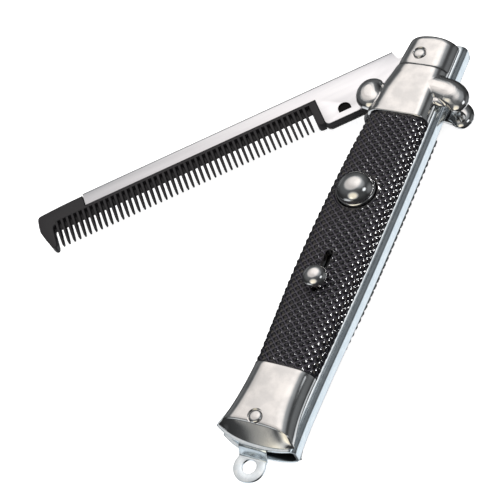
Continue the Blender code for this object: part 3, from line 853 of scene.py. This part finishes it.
def make_heads(side):
    """End rivet and pivot head of one side."""
    name = SIDE_NAMES[side]
    make_head(name + "_end_rivet_head", END_RIVET, side, 3.12, [name + "_end_rivet"])
    make_head(name + "_pivot_head", PIVOT, side, 2.85, ["pivot_pin"] if side == FRONT else [])


def make_pivot_shank():
    """The part of the pivot pin that the comb turns on."""
    top, bottom = MID + 5.0, MID - 5.0
    profile = [(0.0, top), (SHANK_RADIUS, top), (SHANK_RADIUS, bottom), (0.0, bottom)]
    dress(spun("pivot_shank", PIVOT, profile, 32), "polished_nickel", "handle", [])


# Channel

# Thickness of the sheet, reach and depth of each rounded corner, half depth of the channel
SHEET, BEND, BEND_DROP, CHANNEL_HALF = 0.8, 1.8, 1.95, 3.05
STEPS = 14


def sheet_path():
    """Mid-line of the folded sheet at one height, as (side, share of the plate, turn in degrees)."""
    path = [(FRONT, step / STEPS, 90) for step in range(STEPS + 1)]
    path += [(FRONT, 1.0, 90 - 90 * step / STEPS) for step in range(1, STEPS)]
    path += [(0, 1.0, 0)]
    path += [(REAR, 1.0, -90 * step / STEPS) for step in range(1, STEPS + 1)]
    path += [(REAR, 1 - step / STEPS, -90) for step in range(1, STEPS + 1)]
    return path


def channel_point(side, share, turn, y):
    """Point of the mid-line: a plate up to the corner, then round it to the middle of the back."""
    left = interpolate(OUTLINE, y, LEFT)
    flat = interpolate(OUTLINE, y, BACK) - BEND
    radius, drop = BEND - SHEET / 2, BEND_DROP - SHEET / 2
    if share < 1:
        x, z = left + (flat - left) * share, side * (CHANNEL_HALF - SHEET / 2)
    else:
        angle = math.radians(turn)
        x, z = flat + radius * math.cos(angle), side * (CHANNEL_HALF - BEND_DROP) + drop * math.sin(angle)
    return x, bowed(min(x, 5.6) if y > 60 else x, y), MID + z


def make_channel():
    """Sheet steel channel, whose two plates are joined by the fold along the right-hand edge."""
    path = sheet_path()
    shape = sheet_grid(len(path) - 1, 64)
    for vert in shape.verts:
        place = path[round(vert.co.x * (len(path) - 1))]
        vert.co = channel_point(*place, CHANNEL_TOP * vert.co.y)
    channel = as_piece("folded_channel", shape, weld=False)
    thicken(channel, SHEET)
    dress(channel, "zinc_plated_steel", "handle", ["channel"])


def thicken(piece, thickness, edge=0.07):
    """Give a surface the thickness of its sheet, with eased edges."""
    wall = piece.modifiers.new("sheet", "SOLIDIFY")
    wall.thickness = thickness * MM
    wall.offset = 0
    wall.use_even_offset = True
    bevel = piece.modifiers.new("edges", "BEVEL")
    bevel.width = edge * MM
    bevel.segments = 2
    bevel.limit_method = "ANGLE"
    bevel.angle_limit = math.radians(50)
    bake_modifiers(piece, 40)


def ring_outline(shape, points):
    """Closed loop of edges through points, each edge ending at its own point."""
    verts = [shape.verts.new((*point, 0)) for point in points]
    return [shape.edges.new((verts[i - 1], verts[i])) for i in range(len(verts))]


def arc(centre, radius, start, end, steps):
    """Points of a round stretch of an outline, between two angles in degrees."""
    points = []
    for step in range(steps + 1):
        angle = math.radians(start + (end - start) * step / steps)
        points.append((centre[0] + radius * math.cos(angle), centre[1] + radius * math.sin(angle)))
    return points


def make_tab():
    """Key ring tab, stepped down from the front plate to the middle plane."""
    left, right, top, neck = -4.55, 2.75, 2.6, -2.0
    shape = bmesh.new()
    outer = arc(EYELET, 3.95, 157, 383, 44)
    outer += [(right, neck), (right, top), (left, top), (left, neck)]
    rim = ring_outline(shape, outer)
    hole = ring_outline(shape, arc(EYELET, 1.76, 0, 352.5, 47))
    bmesh.ops.triangle_fill(shape, use_beauty=True, use_dissolve=False, edges=rim + hole)
    for y in (0.3, 0.1, -0.1, -0.3, -0.55, -0.85, -1.15, -1.4, -1.6, -1.8, neck):
        everything = shape.verts[:] + shape.edges[:] + shape.faces[:]
        bmesh.ops.bisect_plane(shape, geom=everything, plane_co=(0, y, 0), plane_no=(0, 1, 0), dist=0.0001)
    drop = CHANNEL_HALF - SHEET / 2
    for vert in shape.verts:
        vert.co.z = MID + drop * ease(vert.co.y, -1.75, 0.15)
    tab = as_piece("key_ring_tab", shape)
    thicken(tab, SHEET - 0.08, 0.09)
    dress(tab, "zinc_plated_steel", "handle", [])


# Comb

# Half thickness of the covered comb, and thickness of the cover's sheet
COMB_HALF, COVER = 1.45, 0.3
# The comb's back, the cover's lower edge, the end and lower edge of the tang, the cover's far end
BACK_B, COVER_EDGE_B = -8.85, -4.4
TANG_A, TANG_B, COVER_END_A = 29.65, 5.1, 97.3
# Roots and tips of the teeth, how many there are, the first one's middle and the pitch
ROOT_B, TIP_B = -1.0, 4.4
TEETH, FIRST_TOOTH, TOOTH_PITCH = 47, 33.5, 1.586
BAR_START, BAR_LENGTH = 30.2, 78.0


def make_cover():
    """Folded cover: front and rear sheets joined round the comb's back."""
    shape = bmesh.new()
    bend = 0.75
    flat_b = BACK_B + COVER / 2 + bend
    z = COMB_HALF - COVER / 2
    corner = 1.3
    outline = [(COVER_END_A, flat_b), (5.7, flat_b), (5.1, BACK_B + 3.4)]
    outline += arc((0, 0), 4.8, 262, 96, 28) + [(6.0, TANG_B)]
    outline += arc((TANG_A - corner, TANG_B - corner), corner, 90, 0, 8)
    outline += [(TANG_A, COVER_EDGE_B), (COVER_END_A, COVER_EDGE_B)]
    rim = ring_outline(shape, outline)
    middle, reach, base = WINDOW[0], 1.75, 3.25
    window = arc((middle, 2.3), reach, 180, 360, 24) + [(middle + reach, base), (middle - reach, base)]
    holes = ring_outline(shape, window) + ring_outline(shape, arc((0, 0), BORE_RADIUS, 0, 345, 23))
    # The straight stretch along the comb's back, where the fold begins
    back = rim[1]
    bmesh.ops.triangle_fill(shape, use_beauty=True, use_dissolve=False, edges=rim + holes)
    bmesh.ops.translate(shape, verts=shape.verts, vec=(0, 0, z))
    grown = bmesh.ops.spin(
        shape, geom=[back] + list(back.verts), cent=(0, flat_b, z - bend), axis=(1, 0, 0), dvec=(0, 0, 0),
        angle=math.pi / 2, steps=6, use_merge=False, use_normal_flip=False, use_duplicate=False,
    )["geom_last"]
    middle_edge = bmesh.ops.extrude_edge_only(shape, edges=edges_of(grown))["geom"]
    for vert in points_of(middle_edge):
        vert.co.z = 0
    geometry = shape.verts[:] + shape.edges[:] + shape.faces[:]
    bmesh.ops.mirror(shape, geom=geometry, matrix=Matrix.Identity(4), merge_dist=0.001, axis="Z")
    cover = as_piece("folded_cover", shape, comb_place)
    thicken(cover, COVER, 0.06)
    dress(cover, "brushed_steel", "comb", ["comb_plate"])


def slab(outline, half, bevel_width, segments=2):
    """Flat plate with eased edges from an outline of (a, b) points."""
    shape = bmesh.new()
    ring_outline(shape, outline)
    face = bmesh.ops.contextual_create(shape, geom=shape.edges[:])["faces"]
    bmesh.ops.translate(shape, verts=shape.verts, vec=(0, 0, -half))
    grown = bmesh.ops.extrude_face_region(shape, geom=face)["geom"]
    bmesh.ops.translate(shape, verts=points_of(grown), vec=(0, 0, 2 * half))
    rims = [edge for edge in shape.edges if abs(edge.verts[0].co.z - edge.verts[1].co.z) < 0.001]
    bmesh.ops.bevel(
        shape, geom=rims, offset=bevel_width, segments=segments, affect="EDGES", profile=0.5, material=-1,
    )
    return shape


def make_comb_bar():
    """Bar of the comb, whose lower edge is a wedge that shows between the teeth."""
    shape = bmesh.new()
    section = [
        (-4.25, -1.4), (-4.25, 1.4), (-3.5, 1.4), (-3.42, 0.22), (ROOT_B - 0.2, 0.1), (ROOT_B, 0.0),
        (ROOT_B - 0.2, -0.1), (-3.42, -0.22), (-3.5, -1.4),
    ]
    rim = ring_outline(shape, section)
    for vert in shape.verts:
        vert.co = (BAR_START, vert.co.x, vert.co.y)
    face = bmesh.ops.contextual_create(shape, geom=rim)["faces"]
    grown = bmesh.ops.extrude_face_region(shape, geom=face)["geom"]
    bmesh.ops.translate(shape, verts=points_of(grown), vec=(BAR_LENGTH, 0, 0))
    bar = as_piece("comb_bar", shape, comb_place)
    dress(bar, "black_comb_plastic", "comb", ["comb_core"])


def make_teeth():
    """Tapered teeth with rounded tips, each grown from its root as (b, width, half thickness)."""
    rows = (
        (-3.55, 0.92, 1.41), (-2.6, 0.9, 1.4), (ROOT_B, 0.84, 1.34), (1.0, 0.76, 1.1), (2.8, 0.68, 0.85),
        (3.9, 0.6, 0.7), (4.22, 0.46, 0.55), (TIP_B, 0.22, 0.28),
    )
    shape = bmesh.new()
    for index in range(TEETH):
        a = FIRST_TOOTH + TOOTH_PITCH * index
        ring = bmesh.ops.create_circle(shape, cap_ends=True, segments=8, radius=1.0)["verts"]
        face = ring[0].link_faces[0]
        for row, (b, width, half) in enumerate(rows):
            if row:
                face = bmesh.ops.extrude_discrete_faces(shape, faces=[face])["faces"][0]
            count = len(face.verts)
            for corner, vert in enumerate(face.verts):
                angle = math.tau * (corner + 0.5) / count
                u, w = math.cos(angle), math.sin(angle)
                vert.co = (
                    a + width / 2 * math.copysign(abs(u) ** 0.45, u), b,
                    half * math.copysign(abs(w) ** 0.35, w),
                )
    teeth = as_piece("comb_teeth", shape, comb_place, sharp=50, weld=False)
    dress(teeth, "black_comb_plastic", "comb", [])


def make_comb_heel():
    """Heel of the comb by the tang."""
    outline = [(29.85, -4.3), (31.9, -4.3), (31.9, 3.4), (31.6, 4.1), (31.0, 4.3), (29.85, 4.3)]
    heel = as_piece("comb_heel", slab(outline, 1.42, 0.22), comb_place)
    dress(heel, "black_comb_plastic", "comb", [])


def make_comb_tip():
    """Broad end tooth and the rounded tip."""
    outline = [
        (97.5, -8.0), (104.0, -7.85), (110.1, -7.5), (110.65, -7.3), (111.0, -6.9), (111.2, -6.2),
        (111.4, -4.0), (111.4, -2.3), (111.05, -0.9), (110.5, 0.7), (109.6, 3.6), (109.3, 4.3),
        (108.85, 4.7), (108.4, 4.68), (108.1, 4.4), (107.9, 3.6), (107.75, -1.6), (107.4, -2.4),
        (106.5, -2.6), (106.5, -3.6), (97.5, -3.6),
    ]
    tip = as_piece("comb_tip", slab(outline, 1.44, 0.28, 3), comb_place)
    dress(tip, "black_comb_plastic", "comb", [])


def make_comb_web():
    """Plastic inside the cover, from the pivot to the tip, with a pocket behind the window."""
    outline = [(96.0, -8.1), (6.5, -8.1), (5.9, -5.3)] + arc((0, 0), 4.2, 262, 96, 20)
    outline += [(6.0, 4.95), (28.4, 4.95), (29.7, 4.2), (31.0, 4.2), (31.0, -3.9), (96.0, -3.9)]
    web = as_piece("comb_web", slab(outline, 1.0, 0.08, 1), comb_place)
    bore = as_piece("bore", disc_shape((0, 0), BORE_RADIUS, -3, 3, 32), comb_place)
    pocket = as_piece("pocket", disc_shape(WINDOW, POCKET_RADIUS, -1.3, 3, 32), comb_place)
    carve(web, [bore, pocket])
    dress(web, "black_comb_plastic", "comb", [])


def make_pieces():
    make_channel()
    make_tab()
    for side in (FRONT, REAR):
        make_end_cap(side)
        make_bolster(side)
        make_grip(side)
        make_heads(side)
    make_collar()
    make_button()
    make_slider()
    make_pivot_shank()
    make_cover()
    make_comb_bar()
    make_teeth()
    make_comb_heel()
    make_comb_tip()
    make_comb_web()


# Studio

# Soft boxes seen in the polished pieces: direction, inner and outer angle in degrees, strength
SOFT_BOXES = (
    ((-0.5, 0.4, 0.77), 30, 72, 0.08),
    ((-0.25, 0.55, 0.80), 0, 30, 0.40),
    ((0.66, 0.12, 0.74), 5, 12, 1.4),
    ((0.88, 0.43, 0.15), 5, 34, 0.15),
    ((0.10, 0.42, 0.90), 6, 27, 0.30),
    ((-0.13, -0.88, 0.45), 4, 14, 0.45),
    ((0.46, 0.43, -0.78), 16, 33, 1.0),
    ((-0.87, 0.43, -0.15), 6, 24, 0.12),
    ((-0.38, -0.90, -0.18), 10, 28, 0.75),
    ((-0.38, -0.50, -0.78), 18, 38, 0.9),
)
# Strength of the even light that matte surfaces get
EVEN_LIGHT = 0.95


def studio_world():
    """Soft studio: an even pale room for matte surfaces, soft boxes for the polished ones."""
    world = bpy.data.worlds.new("studio")
    bpy.context.scene.world = world
    paint = Paint(world)
    for node in list(paint.tree.nodes):
        paint.tree.nodes.remove(node)
    coords = paint.node("ShaderNodeTexCoord")
    look = Socket(paint, coords.outputs["Generated"])
    height = Socket(paint, paint.node("ShaderNodeSeparateXYZ", None, {0: look}).outputs[2])

    def glow(direction, inner, outer, strength):
        toward = tuple(Vector(direction).normalized())
        dot = paint.node("ShaderNodeVectorMath", {"operation": "DOT_PRODUCT"}, {0: look, 1: toward})
        dark, full = math.cos(math.radians(outer)), math.cos(math.radians(inner))
        return paint.step(Socket(paint, dot.outputs["Value"]), dark, full) * strength

    warm = glow((0.0, -0.70, 0.70), 8, 31, 1.15)
    main = glow((-0.37, 0.36, 0.86), 23, 36, 0.62)
    room = 0.03 + paint.step(height, -0.1, 0.7, 0.0, 0.04) + warm + main
    for box in SOFT_BOXES:
        room = room + glow(*box)
    path = paint.node("ShaderNodeLightPath")
    glossy = Socket(paint, path.outputs["Is Glossy Ray"])
    strength = EVEN_LIGHT + (room - EVEN_LIGHT) * glossy
    sheen = paint.mix(main * 1.6, (0.92, 0.965, 1.0), (1.0, 0.955, 0.925))
    sheen = paint.mix(warm, sheen, (1.0, 0.93, 0.76))
    tint = paint.mix(glossy, (1.0, 0.985, 0.975), sheen)
    background = paint.node("ShaderNodeBackground", None, {0: tint, 1: strength})
    output = paint.node("ShaderNodeOutputWorld")
    paint.tree.links.new(background.outputs[0], output.inputs[0])


def area_light(name, place, size, power):
    """Round light aimed at the part, left out of reflections unless it is switched on there."""
    data = bpy.data.lights.new(name, "AREA")
    data.shape = "DISK"
    data.size = size
    data.energy = power
    light = bpy.data.objects.new(name, data)
    bpy.context.scene.collection.objects.link(light)
    light.location = place
    light.rotation_euler = (-Vector(place)).to_track_quat("-Z", "Y").to_euler()
    light.visible_glossy = False
    return light


def lights():
    """Key light, and a light that only glints on the knurl of the grips."""
    area_light("key", (-0.25, 0.25, 0.6), 0.7, 1.3)
    spark = area_light("spark", (0.308, 0.498, 0.202), 0.2, 9.0)
    spark.visible_glossy = True
    spark.visible_diffuse = False
    lit = bpy.data.collections.new("sparkling")
    for name in ("front_grip_knurled", "rear_grip_knurled"):
        lit.objects.link(bpy.data.objects[name])
    spark.light_linking.receiver_collection = lit


def paper_floor():
    """White paper under the part."""
    shape = bmesh.new()
    bmesh.ops.create_grid(shape, x_segments=1, y_segments=1, size=3.0)
    mesh = bpy.data.meshes.new("floor")
    shape.to_mesh(mesh)
    shape.free()
    floor = bpy.data.objects.new("floor", mesh)
    bpy.context.scene.collection.objects.link(floor)
    paper = surface("paper", {
        "Base Color": (0.8, 0.8, 0.8), "Roughness": 1.0, "Specular IOR Level": 0.0,
        "Emission Color": (1.0, 1.0, 1.0), "Emission Strength": 0.75,
    })
    mesh.materials.append(paper.owner)
    floor.visible_glossy = False


def photo_camera():
    """Camera found from the photo, which looks from the lower right, 37 degrees off square."""
    data = bpy.data.cameras.new("photo_camera")
    data.sensor_width = 36.0
    data.lens = 107.07
    data.clip_start = 0.01
    camera = bpy.data.objects.new("photo_camera", data)
    bpy.context.scene.collection.objects.link(camera)
    camera.location = (0.14169, -0.15992, 0.30932)
    camera.rotation_euler = tuple(math.radians(turn) for turn in (33.1452, 16.9414, 23.2896))
    bpy.context.scene.camera = camera


photo_camera()
make_pieces()
studio_world()
lights()
paper_floor()
bpy.context.scene.view_settings.view_transform = "Standard"
